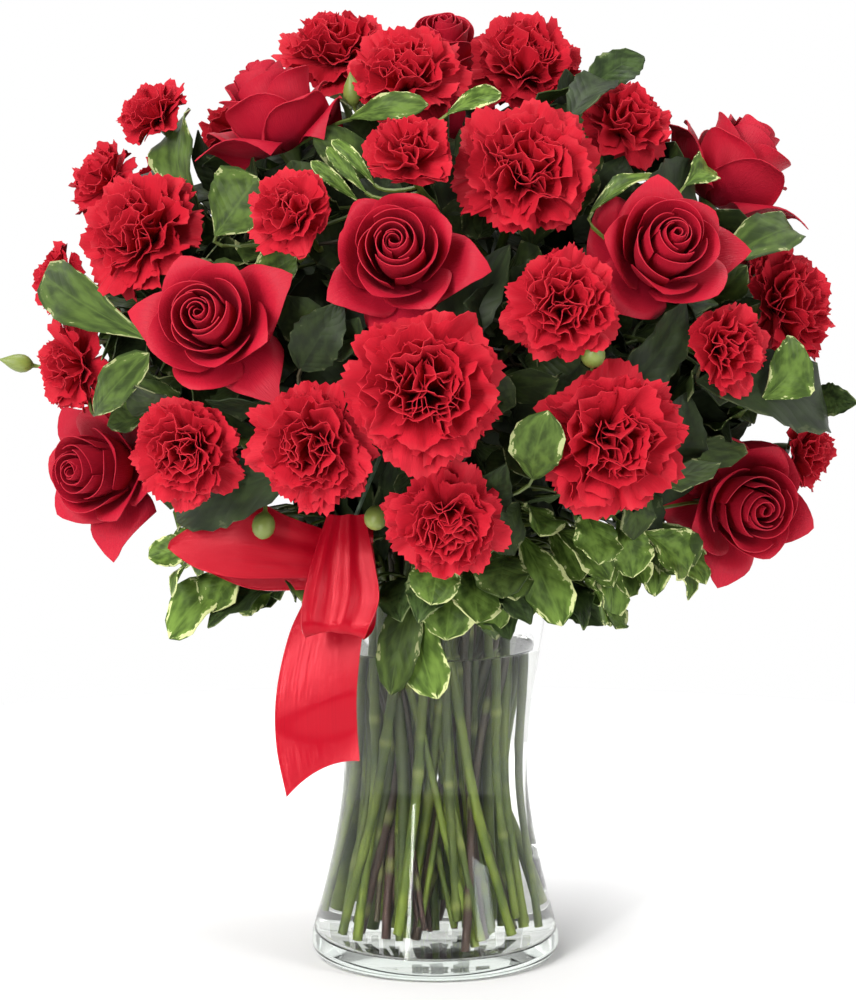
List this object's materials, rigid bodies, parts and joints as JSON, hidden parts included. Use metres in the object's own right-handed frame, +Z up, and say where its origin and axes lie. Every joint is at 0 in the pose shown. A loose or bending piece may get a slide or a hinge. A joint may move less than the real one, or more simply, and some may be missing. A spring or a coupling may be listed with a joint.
{
  "type": "roses and carnations in a vase",
  "caption": "Round bouquet of red roses, carnations and spray carnations with variegated greens and a red satin bow, standing in water in a flared clear glass vase.",
  "frame": {"origin": "centre of the flat underside of the vase", "axes": "+Z up along the vase's axis, -Y towards the viewer and the bow, +X to the viewer's right"},
  "size_m": [0.4217, 0.3943, 0.4835],
  "materials": {
    "rose_petals": "velvety dark red petals with crimson folds",
    "carnation_petals": "soft bright red petals with paler toothed rims",
    "stems_and_leaves": "satin green stems, calyxes and leaves, many leaves with cream margins",
    "vase_glass": "clear polished glass",
    "water": "clear still water",
    "satin_ribbon": "red satin with a soft sheen along its folds",
    "florist_wire": "thin dull wire"
  },
  "bodies": {
    "root": {"bow_pick": "florist_wire", "carnation_01": "carnation_petals", "carnation_02": "carnation_petals", "carnation_03": "carnation_petals", "carnation_04": "carnation_petals", "carnation_05": "carnation_petals", "carnation_06": "carnation_petals", "carnation_07": "carnation_petals", "carnation_08": "carnation_petals", "carnation_09": "carnation_petals", "carnation_10": "carnation_petals", "carnation_11": "carnation_petals", "carnation_12": "carnation_petals", "carnation_13": "carnation_petals", "carnation_14": "carnation_petals", "carnation_15": "carnation_petals", "carnation_16": "carnation_petals", "carnation_17": "carnation_petals", "carnation_18": "carnation_petals", "carnation_19": "carnation_petals", "carnation_20": "carnation_petals", "ribbon_bow": "satin_ribbon", "rose_01": "rose_petals", "rose_02": "rose_petals", "rose_03": "rose_petals", "rose_04": "rose_petals", "rose_05": "rose_petals", "rose_06": "rose_petals", "rose_07": "rose_petals", "rose_08": "rose_petals", "rose_09": "rose_petals", "rose_10": "rose_petals", "rose_11": "rose_petals", "spray_carnation_01": "carnation_petals", "spray_carnation_02": "carnation_petals", "spray_carnation_03": "carnation_petals", "spray_carnation_04": "carnation_petals", "spray_carnation_05": "carnation_petals", "spray_carnation_06": "carnation_petals", "spray_carnation_07": "carnation_petals", "spray_carnation_08": "carnation_petals", "spray_carnation_09": "carnation_petals", "spray_carnation_10": "carnation_petals", "spray_carnation_11": "carnation_petals", "spray_carnation_12": "carnation_petals", "stems_and_leaves_01": "stems_and_leaves", "stems_and_leaves_02": "stems_and_leaves", "stems_and_leaves_03": "stems_and_leaves", "stems_and_leaves_04": "stems_and_leaves", "stems_and_leaves_05": "stems_and_leaves", "stems_and_leaves_06": "stems_and_leaves", "stems_and_leaves_07": "stems_and_leaves", "stems_and_leaves_middle": "stems_and_leaves", "vase": "vase_glass", "water": "water"}
  },
  "joints": []
}
